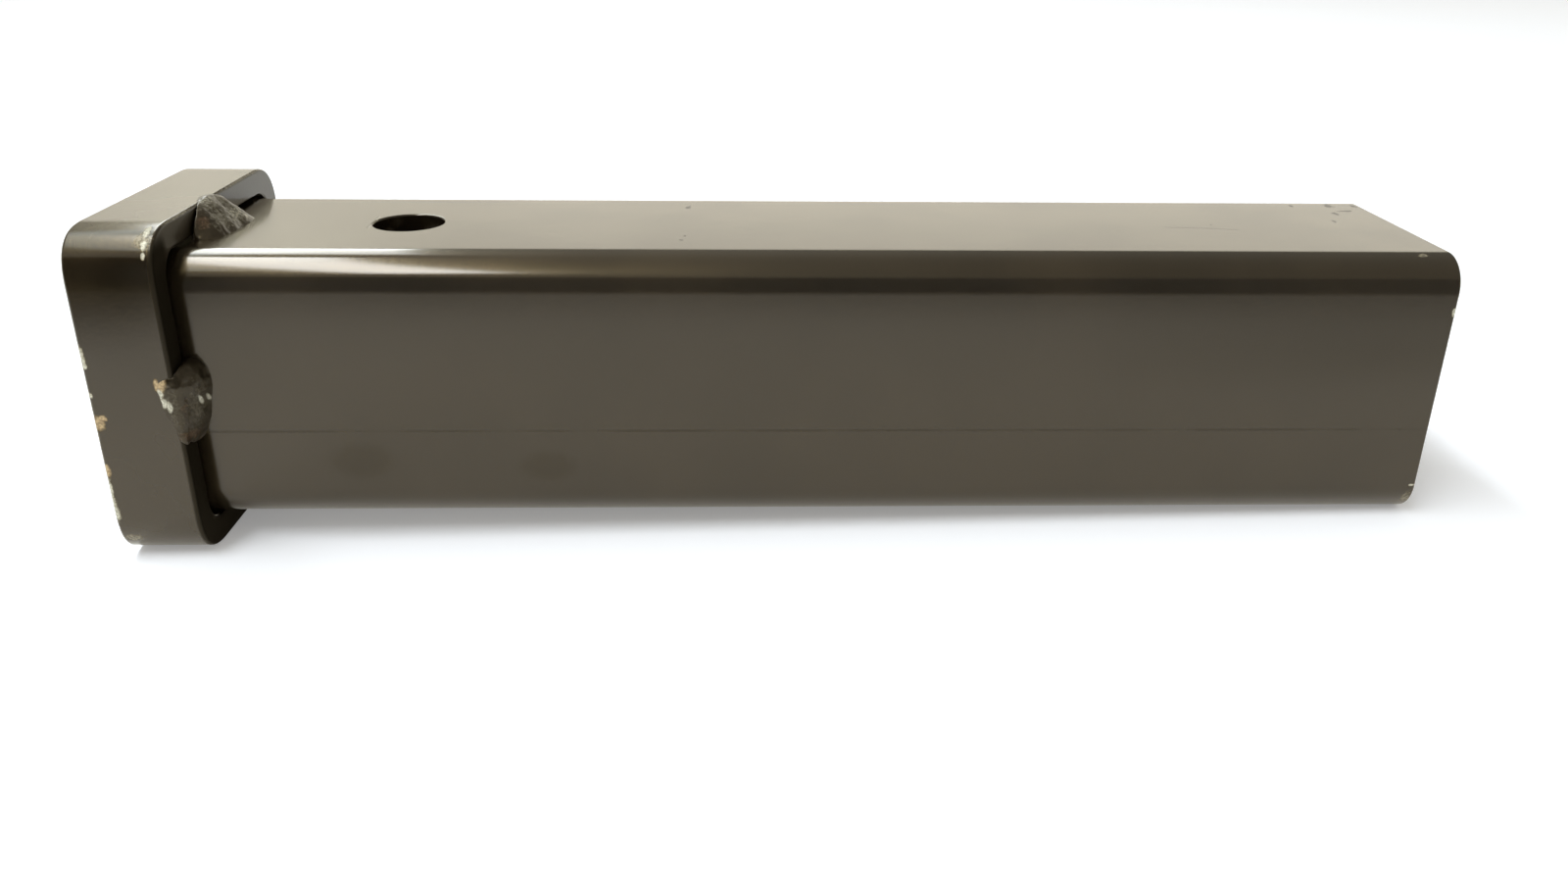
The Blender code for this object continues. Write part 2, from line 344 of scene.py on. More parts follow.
# The coat: a warm gloss under a clear one
COAT_COLOUR = (0.008, 0.0062, 0.0045)
COAT_LIGHTENING = 1.9
COAT_TINT = (1.0, 0.92, 0.72)
GLOSS_TINT = (1.0, 0.77, 0.38)
BASE_IOR = 1.45
CLEAR_IOR = 1.445
CLEAR_ROUGHNESS = 0.12
ROUGHNESS_DRIFT = 0.06
ROUGHNESS_WITHOUT_GLOSS = 0.35
DUST_COLOUR = (0.30, 0.27, 0.21)
DUST_STRENGTH = 0.04
SKIN_DEPTH = 0.02 * MM
CHIP_DEPTH = 0.08 * MM

# Noises in the coat: features in a metre, detail, roughness
CHIP_TEAR = (1000.0, 2.5, 0.5)
CHIP_SPECKLE = (1900.0, 3.0, 0.5)
COARSE_PEEL = (420.0, 1.0, 0.5)
FINE_PEEL = (1150.0, 1.0, 0.5)
SLOW_WAVE = (70.0, 1.0, 0.5)
NIB_PATCHES = (45.0, 1.0, 0.5)
TONE_DRIFT = (28.0, 3.0, 0.5)
DUST_GRAIN = (1500.0, 2.0, 0.7)
SEAM_BREAKS = (60.0, 2.0, 0.5)

# Where those noises and distances begin to show, and where they show in full
CHIP_EDGE = (1.05, 0.45)
SPECKLE_LEVELS = (0.40, 0.60)
NIB_EDGE = (0.14, 0.02)
NIB_PATCH_LEVELS = (0.56, 0.66)
TONE_DRIFT_LEVELS = (0.35, 0.68)
DUST_LEVELS = (0.60, 0.78)

# How strongly each one tells
CHIP_TEAR_STRENGTH = 3.0
COARSE_PEEL_SHARE = 0.55
FINE_PEEL_SHARE = 0.70
SLOW_WAVE_SHARE = 0.3
NIB_SHARE = 0.7
NIBS_IN_A_METRE = 260.0

# What shows where it is worn, and the painted shade, dark reflections, sheen and glints: light tone,
# dark tone, strength, metallic, roughness
# Bare metal, whose tone also paints the glints on the beads
BARE_METAL_AND_GLINT = ((0.66, 0.64, 0.52), (0.38, 0.36, 0.28), 1.0, 0.2, 0.42)
FILLER = ((0.62, 0.47, 0.27), (0.36, 0.26, 0.15), 0.9, 0.0, 0.55)
# Thin coat, whose tone also paints the highlights on the top bead
THIN_COAT_AND_SHEEN = ((0.40, 0.37, 0.28), (0.13, 0.12, 0.09), 0.6, 0.0, 0.45)
# Painted sheen: a lighter tone standing in for the sky mirrored on the top bead
PAINTED_BEAD_SHEEN = ((0.30, 0.28, 0.22), (0.12, 0.11, 0.085), 0.55, 0.0, 0.4)
MOTTLE = ((0.10, 0.092, 0.074), (0.035, 0.031, 0.024), 0.6, 0.0, 0.4)
BURNT = ((0.11, 0.065, 0.04), (0.04, 0.024, 0.018), 0.6, 0.0, 0.5)
DULL_MARK = ((0.05, 0.043, 0.032), (0.02, 0.017, 0.013), 0.45, 0.0, 0.55)
# Painted dark reflection: a darker tone for soft blotches mirrored on the tube's near face
PAINTED_DARK_REFLECTION = ((0.010, 0.008, 0.007), (0.006, 0.005, 0.004), 0.22, 0.0, 0.35)
# Painted shade: near-black along the collar's back edge, where shade and dark reflections fall
PAINTED_BACK_EDGE_SHADE = ((0.006, 0.005, 0.004), (0.006, 0.005, 0.004), 0.9, 0.3, 0.6)
# Painted shade: near-black on the collar's back face on its near side and underside
PAINTED_NEAR_BACK_SHADE = ((0.005, 0.004, 0.003), (0.005, 0.004, 0.003), 0.9, 0.5, 0.95)


def add_node(tree, kind, **settings):
    node = tree.nodes.new(kind)
    for name, value in settings.items():
        setattr(node, name, value)
    return node


def new_group(name, inputs, outputs):
    """A shader node group with inputs (name, socket type, value) and outputs (name, socket type)."""
    tree = bpy.data.node_groups.new(name, "ShaderNodeTree")
    for label, kind, value in inputs:
        socket = tree.interface.new_socket(label, in_out="INPUT", socket_type=kind)
        if value is not None:
            socket.default_value = value
    for label, kind in outputs:
        tree.interface.new_socket(label, in_out="OUTPUT", socket_type=kind)
    return tree, tree.nodes.new("NodeGroupInput"), tree.nodes.new("NodeGroupOutput")


def set_inputs(node, values):
    for label, value in values.items():
        node.inputs[label].default_value = value


def noise(tree, vector, scale, detail, roughness):
    """The value of a noise texture over a vector socket."""
    texture = add_node(tree, "ShaderNodeTexNoise")
    set_inputs(texture, {"Scale": scale, "Detail": detail, "Roughness": roughness})
    tree.links.new(vector, texture.inputs["Vector"])
    return texture.outputs["Fac"]


def ramp(tree, value, low, high, out_low=0.0, out_high=1.0):
    """Maps a value smoothly from between low and high to between the two outputs."""
    node = add_node(tree, "ShaderNodeMapRange", interpolation_type="SMOOTHSTEP")
    set_inputs(node, {"From Min": low, "From Max": high, "To Min": out_low, "To Max": out_high})
    tree.links.new(value, node.inputs["Value"])
    return node.outputs["Result"]


def split(tree, vector):
    """The X, Y and Z outputs of a vector socket."""
    node = add_node(tree, "ShaderNodeSeparateXYZ")
    tree.links.new(vector, node.inputs[0])
    return node.outputs


def constant(tree, value):
    """A socket with a plain value."""
    socket = add_node(tree, "ShaderNodeValue").outputs[0]
    socket.default_value = value
    return socket


def combine(tree, operation, first, second):
    """A Math node of two sockets or numbers."""
    node = add_node(tree, "ShaderNodeMath", operation=operation)
    for socket, value in zip(node.inputs, (first, second)):
        if isinstance(value, (int, float)):
            socket.default_value = value
        else:
            tree.links.new(value, socket)
    return node.outputs[0]


def multiply(tree, first, *others):
    """The product of two or more sockets or numbers."""
    product = first
    for other in others:
        product = combine(tree, "MULTIPLY", product, other)
    return product


def shift(tree, value, mask, target):
    """Moves a value to a target by a mask."""
    change = combine(tree, "SUBTRACT", target, value)
    return combine(tree, "ADD", value, multiply(tree, mask, change))


def blend_colour(tree, amount, under, over):
    """A colour mixed over another by a mask. The colours are sockets or plain tuples."""
    node = add_node(tree, "ShaderNodeMix", data_type="RGBA")
    tree.links.new(amount, node.inputs["Factor"])
    for label, value in (("A", under), ("B", over)):
        socket = [s for s in node.inputs if s.name == label and s.type == "RGBA"][0]
        if isinstance(value, tuple):
            socket.default_value = (*value, 1.0)
        else:
            tree.links.new(value, socket)
    return [s for s in node.outputs if s.type == "RGBA"][0]


def scaled(colour, factor):
    return tuple(factor * channel for channel in colour)


def new_material(name):
    """A material, its node tree and its shader."""
    material = bpy.data.materials.new(name)
    material.use_nodes = True
    return material, material.node_tree, material.node_tree.nodes["Principled BSDF"]


def make_patch_group():
    """A mask for one ragged chip in the coat, or one patch of painted light or shade, inside an
    ellipsoid about a centre.
    """
    inputs = [
        ("Place", "NodeSocketVector", None),
        ("Centre", "NodeSocketVector", None),
        ("Reach", "NodeSocketVector", None),
        ("Raggedness", "NodeSocketFloat", 0.5),
    ]
    tree, start, end = new_group("coat patch", inputs, [("Mask", "NodeSocketFloat")])
    offset = add_node(tree, "ShaderNodeVectorMath", operation="SUBTRACT")
    tree.links.new(start.outputs["Place"], offset.inputs[0])
    tree.links.new(start.outputs["Centre"], offset.inputs[1])
    share = add_node(tree, "ShaderNodeVectorMath", operation="DIVIDE")
    tree.links.new(offset.outputs[0], share.inputs[0])
    tree.links.new(start.outputs["Reach"], share.inputs[1])
    length = add_node(tree, "ShaderNodeVectorMath", operation="LENGTH")
    tree.links.new(share.outputs[0], length.inputs[0])
    torn = combine(tree, "SUBTRACT", noise(tree, start.outputs["Place"], *CHIP_TEAR), 0.5)
    torn = multiply(tree, torn, start.outputs["Raggedness"], CHIP_TEAR_STRENGTH)
    distance = combine(tree, "ADD", length.outputs["Value"], torn)
    tree.links.new(ramp(tree, distance, *CHIP_EDGE), end.inputs["Mask"])
    return tree


def make_skin_group():
    """The coat's own surface: orange peel, nibs of dust caught in it, and slow changes of tone."""
    inputs = [
        ("Place", "NodeSocketVector", None),
        ("Peel", "NodeSocketFloat", 1.0),
        ("Nibs", "NodeSocketFloat", 1.0),
    ]
    outputs = [
        ("Height", "NodeSocketFloat"),
        ("Drift", "NodeSocketFloat"),
        ("Dust", "NodeSocketFloat"),
    ]
    tree, start, end = new_group("coat skin", inputs, outputs)
    place = start.outputs["Place"]
    coarse = multiply(tree, noise(tree, place, *COARSE_PEEL), COARSE_PEEL_SHARE)
    fine = multiply(tree, noise(tree, place, *FINE_PEEL), FINE_PEEL_SHARE)
    peel = multiply(tree, combine(tree, "ADD", coarse, fine), start.outputs["Peel"])
    slow = multiply(tree, noise(tree, place, *SLOW_WAVE), SLOW_WAVE_SHARE)
    nib = add_node(tree, "ShaderNodeTexVoronoi")
    nib.inputs["Scale"].default_value = NIBS_IN_A_METRE
    tree.links.new(place, nib.inputs["Vector"])
    spot = ramp(tree, nib.outputs["Distance"], *NIB_EDGE)
    rare = ramp(tree, noise(tree, place, *NIB_PATCHES), *NIB_PATCH_LEVELS)
    nibs = multiply(tree, spot, rare, start.outputs["Nibs"], NIB_SHARE)
    height = combine(tree, "ADD", combine(tree, "ADD", peel, slow), nibs)
    tree.links.new(height, end.inputs["Height"])
    drift = ramp(tree, noise(tree, place, *TONE_DRIFT), *TONE_DRIFT_LEVELS)
    tree.links.new(drift, end.inputs["Drift"])
    dust = ramp(tree, noise(tree, place, *DUST_GRAIN), *DUST_LEVELS)
    tree.links.new(dust, end.inputs["Dust"])
    return tree


PATCH_GROUP = make_patch_group()
SKIN_GROUP = make_skin_group()


def patches_mask(tree, place, chips):
    """The union of the masks of several chips or painted patches (centre and reach in millimetres,
    raggedness).
    """
    mask = 0.0
    for centre, reach, raggedness in chips:
        chip = add_node(tree, "ShaderNodeGroup", node_tree=PATCH_GROUP)
        measures = {"Centre": Vector(centre) * MM, "Reach": Vector(reach) * MM, "Raggedness": raggedness}
        set_inputs(chip, measures)
        tree.links.new(place, chip.inputs["Place"])
        mask = combine(tree, "MAXIMUM", mask, chip.outputs["Mask"])
    return mask


def coat_material(name, peel, nibs, roughness, gloss, wear_and_painted_light, lines=()):
    """The near-black coat: a warm gloss under a clear one, with chips that bare what is under it and
    painted shade, dark reflections, sheen and glints. wear_and_painted_light holds (light tone, dark
    tone, strength, metallic, roughness, chips) for each wear or painted light that shows, with a list of
    chips or a function that gives their mask. lines holds functions that give (mask, depth, colour, loss
    of gloss)."""
    material, tree, shader = new_material(name)
    constants = {
        "IOR": BASE_IOR,
        "Specular Tint": (*GLOSS_TINT, 1.0),
        "Coat Roughness": CLEAR_ROUGHNESS,
        "Coat IOR": CLEAR_IOR,
        "Coat Tint": (*COAT_TINT, 1.0),
    }
    set_inputs(shader, constants)
    place = add_node(tree, "ShaderNodeTexCoord").outputs["Object"]
    skin = add_node(tree, "ShaderNodeGroup", node_tree=SKIN_GROUP)
    set_inputs(skin, {"Peel": peel, "Nibs": nibs})
    tree.links.new(place, skin.inputs["Place"])
    lighter = scaled(COAT_COLOUR, COAT_LIGHTENING)
    colour = blend_colour(tree, skin.outputs["Drift"], COAT_COLOUR, lighter)
    dust = multiply(tree, skin.outputs["Dust"], DUST_STRENGTH)
    colour = blend_colour(tree, dust, colour, DUST_COLOUR)
    rough = combine(tree, "ADD", multiply(tree, skin.outputs["Drift"], ROUGHNESS_DRIFT), roughness)
    height = multiply(tree, skin.outputs["Height"], SKIN_DEPTH)
    glossy = constant(tree, gloss)
    for mask, depth, tone, loss in (line(tree, place) for line in lines):
        colour = blend_colour(tree, mask, colour, tone)
        height = combine(tree, "ADD", height, multiply(tree, mask, depth))
        lost = multiply(tree, mask, loss)
        rough = combine(tree, "ADD", rough, multiply(tree, lost, ROUGHNESS_WITHOUT_GLOSS))
        glossy = shift(tree, glossy, lost, 0.0)
    metal = constant(tree, 0.0)
    speckle = ramp(tree, noise(tree, place, *CHIP_SPECKLE), *SPECKLE_LEVELS)
    for light, dark, strength, metallic, bare_roughness, chips in wear_and_painted_light:
        mask = chips(tree, place) if callable(chips) else patches_mask(tree, place, chips)
        mask = multiply(tree, mask, strength)
        colour = blend_colour(tree, mask, colour, blend_colour(tree, speckle, dark, light))
        rough = shift(tree, rough, mask, bare_roughness)
        height = combine(tree, "SUBTRACT", height, multiply(tree, mask, CHIP_DEPTH))
        glossy = shift(tree, glossy, mask, 0.0)
        metal = shift(tree, metal, mask, metallic)
    tree.links.new(metal, shader.inputs["Metallic"])
    tree.links.new(glossy, shader.inputs["Coat Weight"])
    tree.links.new(colour, shader.inputs["Base Color"])
    tree.links.new(rough, shader.inputs["Roughness"])
    bump = add_node(tree, "ShaderNodeBump")
    bump.inputs["Distance"].default_value = 1.0
    tree.links.new(height, bump.inputs["Height"])
    tree.links.new(bump.outputs["Normal"], shader.inputs["Normal"])
    return material


def dress(piece, node, material):
    """Gives a finished piece its material and its body, and hides the imported node that it stands for.
    """
    piece.data.materials.clear()
    piece.data.materials.append(material)
    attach(piece, "root")
    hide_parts(node)


# Chips, and patches of painted glints, sheen and dark reflection, are (centre, reach, raggedness), in
# millimetres in the part's frame
COLLAR_METAL_CHIPS = [
    ((-152.0, -38.4, 50.0), (0.9, 1.2, 2.6), 0.35),
    ((-151.7, -38.5, 47.8), (0.7, 1.2, 0.9), 0.35),
    ((-151.9, -38.5, 41.0), (0.7, 1.2, 0.9), 0.4),
    ((-152.1, -38.4, 17.5), (0.7, 1.2, 5.2), 0.45),
    ((-151.7, -38.4, 12.6), (0.8, 1.4, 2.6), 0.45),
    ((-135.5, -33.0, 76.0), (0.9, 2.8, 1.4), 0.4),
    ((-135.4, -35.8, 74.0), (0.8, 1.5, 1.9), 0.35),
    ((-135.3, -37.2, 72.0), (0.55, 1.0, 1.0), 0.3),
]
COLLAR_FILLER_CHIPS = [
    ((-151.4, -38.5, 34.4), (1.7, 1.4, 2.1), 0.2),
    ((-150.3, -38.5, 35.6), (1.3, 1.2, 0.9), 0.2),
    ((-151.8, -38.4, 22.9), (0.9, 1.2, 2.0), 0.3),
    ((-137.2, -38.5, 43.4), (0.7, 1.2, 1.8), 0.1),
]
COLLAR_THIN_COAT = [
    ((-152.3, -38.0, 30.0), (0.5, 1.6, 26.0), 0.5),
    ((-149.9, -37.5, 5.4), (2.2, 1.8, 1.3), 0.5),
    ((-135.6, -34.8, 74.8), (1.9, 3.0, 2.6), 0.5),
    ((-133.5, -22.5, 77.0), (0.45, 11.0, 0.5), 0.5),
    ((-133.5, 18.0, 77.0), (0.35, 16.0, 0.4), 0.6),
]
TUBE_METAL_CHIPS = [
    ((152.1, -31.7, 58.3), (0.6, 0.7, 1.4), 0.4),
    ((151.6, -31.7, 15.0), (0.9, 0.7, 0.4), 0.4),
]
TUBE_THIN_COAT = [
    ((152.3, -31.2, 61.5), (0.35, 0.8, 4.6), 0.5),
    ((145.3, -26.0, 70.0), (1.5, 0.9, 0.7), 0.5),
    ((151.2, -30.8, 11.4), (1.5, 1.4, 2.2), 0.5),
    ((-97.3, 0.3, 70.3), (0.5, 7.0, 0.4), 0.5),
]
# Painted dark reflections: soft dark blotches on the tube's near face
TUBE_PAINTED_DARK_REFLECTIONS = [
    ((-97.1, -31.7, 22.2), (9.0, 3.0, 5.5), 0.15),
    ((-54.4, -31.7, 20.8), (8.0, 3.0, 4.5), 0.15),
]
TUBE_DULL_MARKS = [
    ((-22.9, 16.8, 70.3), (1.0, 1.6, 0.5), 0.7),
    ((-23.3, -15.8, 70.3), (0.6, 0.8, 0.5), 0.5),
    ((-22.6, -12.1, 70.3), (0.4, 0.9, 0.5), 0.5),
    ((105.7, 0.7, 70.3), (0.3, 0.7, 0.5), 0.3),
    ((134.0, 21.6, 70.3), (0.6, 1.6, 0.5), 0.6),
    ((144.1, 21.6, 70.3), (1.4, 2.4, 0.5), 0.7),
    ((142.0, 13.0, 70.3), (0.9, 1.8, 0.5), 0.7),
    ((145.8, 15.7, 70.3), (2.0, 1.0, 0.5), 0.8),
    ((138.1, 4.5, 70.3), (0.5, 1.4, 0.5), 0.6),
    ((150.6, 21.5, 70.3), (0.8, 1.4, 0.5), 0.6),
]
# Painted glints: light spots for highlights on the front and top beads
WELD_PAINTED_GLINTS = [
    ((-136.9, -38.8, 41.3), (1.1, 2.5, 1.6), 0.25),
    ((-136.3, -38.9, 39.3), (0.9, 2.5, 1.5), 0.25),
    ((-135.1, -39.0, 38.4), (0.8, 2.5, 1.7), 0.2),
    ((-130.0, -34.6, 38.5), (0.35, 2.4, 1.6), 0.1),
    ((-129.0, -33.8, 38.3), (0.35, 3.0, 1.4), 0.1),
    ((-127.3, 0.4, 71.4), (0.7, 1.1, 1.0), 0.3),
    ((-126.6, 4.2, 70.9), (0.6, 1.6, 0.9), 0.3),
]
WELD_FILLER_CHIPS = [
    ((-136.7, -38.7, 43.9), (2.0, 2.5, 2.9), 0.2),
]
# Painted sheen: lighter patches for the sky mirrored on the top bead
TOP_BEAD_PAINTED_SHEEN = [
    ((-132.5, -5.0, 76.6), (3.2, 9.0, 2.2), 0.35),
    ((-129.0, -1.0, 72.8), (3.6, 8.0, 3.2), 0.45),
    ((-127.0, 2.5, 70.9), (2.0, 5.0, 1.6), 0.4),
    ((-130.0, -9.0, 73.0), (3.0, 5.0, 2.6), 0.7),
]
# Painted highlights: light patches for the sky mirrored on the top bead
TOP_BEAD_PAINTED_HIGHLIGHTS = [
    ((-133.0, -7.0, 76.8), (1.6, 3.2, 1.2), 0.7),
    ((-128.3, -2.0, 73.0), (1.6, 4.6, 2.2), 0.9),
]
WELD_MOTTLE = [
    ((-134.2, -38.0, 37.5), (1.8, 2.4, 5.5), 0.8),
    ((-130.4, -36.0, 36.5), (1.7, 2.4, 6.0), 0.8),
]
WELD_BURNT = [
    ((-132.4, -37.0, 31.0), (3.0, 3.4, 1.3), 0.6),
    ((-131.0, -14.6, 74.2), (1.8, 2.2, 1.8), 0.7),
    ((-132.6, -36.6, 38.0), (0.8, 2.0, 5.0), 0.7),
]


# Lines in the coat, and the painted shade on the collar's back. Pairs go from where a mark begins to
# where it is full.
FACE_MARGIN = (0.5 * MM, 0.2 * MM)
SEAM_LINE_EDGE = (0.45 * MM, 0.1 * MM)
SEAM_LINE_BREAKS = (0.35, 0.6, 0.3, 0.8)
SEAM_LINE_DEPTH = -0.03 * MM
SEAM_LINE_TONE = 0.5
SEAM_LINE_LOSS = 0.35
SCRATCH_START_X = 91.5 * MM
SCRATCH_START_Y = -2.0 * MM
SCRATCH_LENGTH = 21.0 * MM
SCRATCH_BOW = -3.0 * MM
SCRATCH_TAPER = 0.2
SCRATCH_EDGE = (0.55 * MM, 0.1 * MM)
SCRATCH_DEPTH = -0.01 * MM
SCRATCH_LOSS = 0.2
BACK_FACE_MARGIN = (0.3 * MM, 0.03 * MM)
BACK_EDGE_MARGIN = (1.3 * MM, 0.7 * MM)
# The painted shade on the collar's back face: its tone and loss of gloss
BACK_SHADE_TONE = 0.6
BACK_SHADE_LOSS = 0.6
NEAR_SIDE_MARGIN = (9.0 * MM, 6.0 * MM)
NEAR_SIDE_TOP = (76.0 * MM, 72.0 * MM)
UNDERSIDE_TOP = (9.0 * MM, 7.0 * MM)


def seam_line(tree, place):
    """The mill's seam, showing as a thin dark line along the near wall."""
    axes = split(tree, place)
    from_seam = combine(tree, "ABSOLUTE", combine(tree, "SUBTRACT", axes["Z"], SEAM_Z), 0.0)
    line = ramp(tree, from_seam, *SEAM_LINE_EDGE)
    near_wall = ramp(tree, axes["Y"], *[-TUBE_SIDE + margin for margin in FACE_MARGIN])
    broken = ramp(tree, noise(tree, place, *SEAM_BREAKS), *SEAM_LINE_BREAKS)
    mask = multiply(tree, line, near_wall, broken)
    return mask, SEAM_LINE_DEPTH, scaled(COAT_COLOUR, SEAM_LINE_TONE), SEAM_LINE_LOSS


def top_scratch(tree, place):
    """A long shallow scratch on the top face, a little askew."""
    axes = split(tree, place)
    along = combine(tree, "SUBTRACT", axes["X"], SCRATCH_START_X)
    along = combine(tree, "DIVIDE", along, SCRATCH_LENGTH)
    bowed = combine(tree, "POWER", combine(tree, "MAXIMUM", along, 0.0), 2.0)
    bowed = multiply(tree, bowed, SCRATCH_BOW)
    aside = combine(tree, "SUBTRACT", combine(tree, "SUBTRACT", axes["Y"], SCRATCH_START_Y), bowed)
    line = ramp(tree, combine(tree, "ABSOLUTE", aside, 0.0), *SCRATCH_EDGE)
    begun = ramp(tree, along, 0.0, SCRATCH_TAPER)
    unended = ramp(tree, along, 1.0, 1.0 - SCRATCH_TAPER)
    top_side = ramp(tree, axes["Z"], *[TUBE_TOP - margin for margin in FACE_MARGIN])
    mask = multiply(tree, line, multiply(tree, begun, unended), top_side)
    return mask, SCRATCH_DEPTH, COAT_COLOUR, SCRATCH_LOSS


def from_back(tree, axes, margins):
    """A mask for what is near the plane of the collar's back face."""
    return ramp(tree, axes["X"], *[COLLAR_BACK - margin for margin in margins])


def near_side(tree, axes):
    """A mask for the collar's near side below its top corner, and for its underside."""
    near = ramp(tree, axes["Y"], *[-COLLAR_SIDE + margin for margin in NEAR_SIDE_MARGIN])
    near = multiply(tree, near, ramp(tree, axes["Z"], *NEAR_SIDE_TOP))
    return combine(tree, "MAXIMUM", near, ramp(tree, axes["Z"], *UNDERSIDE_TOP))


def painted_back_shade(tree, place):
    """Painted shade on the collar's back face: its coat darkened and dulled there."""
    back = from_back(tree, split(tree, place), BACK_FACE_MARGIN)
    return back, 0.0, scaled(COAT_COLOUR, BACK_SHADE_TONE), BACK_SHADE_LOSS


def collar_edge_shade_mask(tree, place):
    """A mask for the painted shade along the collar's back edge on its near side and underside."""
    axes = split(tree, place)
    return multiply(tree, from_back(tree, axes, BACK_EDGE_MARGIN), near_side(tree, axes))


def collar_back_shade_mask(tree, place):
    """A mask for the painted shade on the collar's back face on its near side and underside."""
    axes = split(tree, place)
    return multiply(tree, from_back(tree, axes, BACK_FACE_MARGIN), near_side(tree, axes))


def make_materials():
    tube = coat_material(
        "tube coat",
        peel=1.0,
        nibs=1.0,
        roughness=0.21,
        gloss=1.0,
        wear_and_painted_light=[
            # painted dark reflections on the near face
            (*PAINTED_DARK_REFLECTION, TUBE_PAINTED_DARK_REFLECTIONS),
            (*THIN_COAT_AND_SHEEN, TUBE_THIN_COAT),
            (*DULL_MARK, TUBE_DULL_MARKS),
            (*BARE_METAL_AND_GLINT, TUBE_METAL_CHIPS),
        ],
        lines=[seam_line, top_scratch],
    )
    collar = coat_material(
        "collar coat",
        peel=1.4,
        nibs=0.6,
        roughness=0.22,
        gloss=1.0,
        wear_and_painted_light=[
            # painted shade along the collar's back edge
            (*PAINTED_BACK_EDGE_SHADE, collar_edge_shade_mask),
            # painted shade on the collar's back face, near side and underside
            (*PAINTED_NEAR_BACK_SHADE, collar_back_shade_mask),
            (*THIN_COAT_AND_SHEEN, COLLAR_THIN_COAT),
            (*FILLER, COLLAR_FILLER_CHIPS),
            (*BARE_METAL_AND_GLINT, COLLAR_METAL_CHIPS),
        ],
        # painted shade over the collar's whole back face
        lines=[painted_back_shade],
    )
    welds = coat_material(
        "weld coat",
        peel=1.6,
        nibs=0.5,
        roughness=0.30,
        gloss=0.55,
        wear_and_painted_light=[
            # painted sheen on the top bead
            (*PAINTED_BEAD_SHEEN, TOP_BEAD_PAINTED_SHEEN),
            (*MOTTLE, WELD_MOTTLE),
            (*BURNT, WELD_BURNT),
            # painted highlights on the top bead
            (*THIN_COAT_AND_SHEEN, TOP_BEAD_PAINTED_HIGHLIGHTS),
            (*FILLER, WELD_FILLER_CHIPS),
            # painted glints on the beads
            (*BARE_METAL_AND_GLINT, WELD_PAINTED_GLINTS),
        ],
    )
    return tube, collar, welds


# The floor, with a lift of its own light that falls off in front of the part's right end
FLOOR_COLOUR = (0.86, 0.868, 0.885)
FLOOR_ROUGHNESS = 0.9
FLOOR_LIFT = 0.24
FLOOR_FALL = 1.0
FLOOR_FALL_NEAR = (-0.11, -0.14)
FLOOR_FALL_RIGHT = (0.05, 0.22)
FLOOR_HALF_SIZE = 6.0
FLOOR_CELLS = 12

# The lamps. Directions are from the part: across to the right, away from the camera, up.
LAMP_DISTANCE = 2.0
LAMPS = {
    "rear left lamp": {
        "direction": (-0.381, 0.688, 0.618),
        "size": (0.38, 1.30),
        "roll": math.radians(23.6),
        "radiance": 5.8,
        "colour": (0.92, 1.0, 1.08),
    },
    "overhead left lamp": {
        "direction": (-0.363, -0.245, 0.899),
        "size": (0.285, 2.05),
        "roll": math.radians(3.5),
        "radiance": 15.0,
        "colour": (0.94, 1.0, 1.08),
    },
    "far left wash": {
        "direction": (-0.50, 0.08, 0.86),
        "size": (0.22, 3.0),
        "roll": 0.0,
        "radiance": 2.4,
        "colour": (0.85, 1.0, 1.1),
    },
}

# The sky's levels: a bright band behind up to its edge, and above it a dim one that rises overhead
SKY_COLOUR = (1.0, 0.97, 0.885)
SKY_BAND = 1.17
SKY_BAND_LEFT = 0.77
SKY_BAND_RIGHT = 0.92
SKY_BAND_EDGE = 0.30
SKY_DIM = 0.22
SKY_OVERHEAD = 0.64
SKY_IN_FRONT = 0.70
SKY_RIGHT = 0.68

# Where the sky's direction passes from one level to the next
SKY_EDGE_BLEND = 0.02
SKY_BAND_LEFT_BLEND = (-0.36, -0.10)
SKY_BAND_RIGHT_BLEND = (0.10, 0.40)
SKY_RIGHT_BLEND = (-0.05, 0.35)
SKY_BEHIND_BLEND = (-0.3, 0.3)

# The dark card
CARD_DISTANCE = 0.15
CARD_HALF_WIDTH = 0.34
CARD_BOTTOM = 0.008
CARD_SOLID = 0.034
CARD_LIFT_AT_RIGHT = 0.006
CARD_TOP = 0.153
CARD_COLOUR = (0.27, 0.275, 0.29)
CARD_LEFT_COLOUR = (0.03, 0.026, 0.02)
CARD_LEFT_BLEND = (-0.200, -0.170)


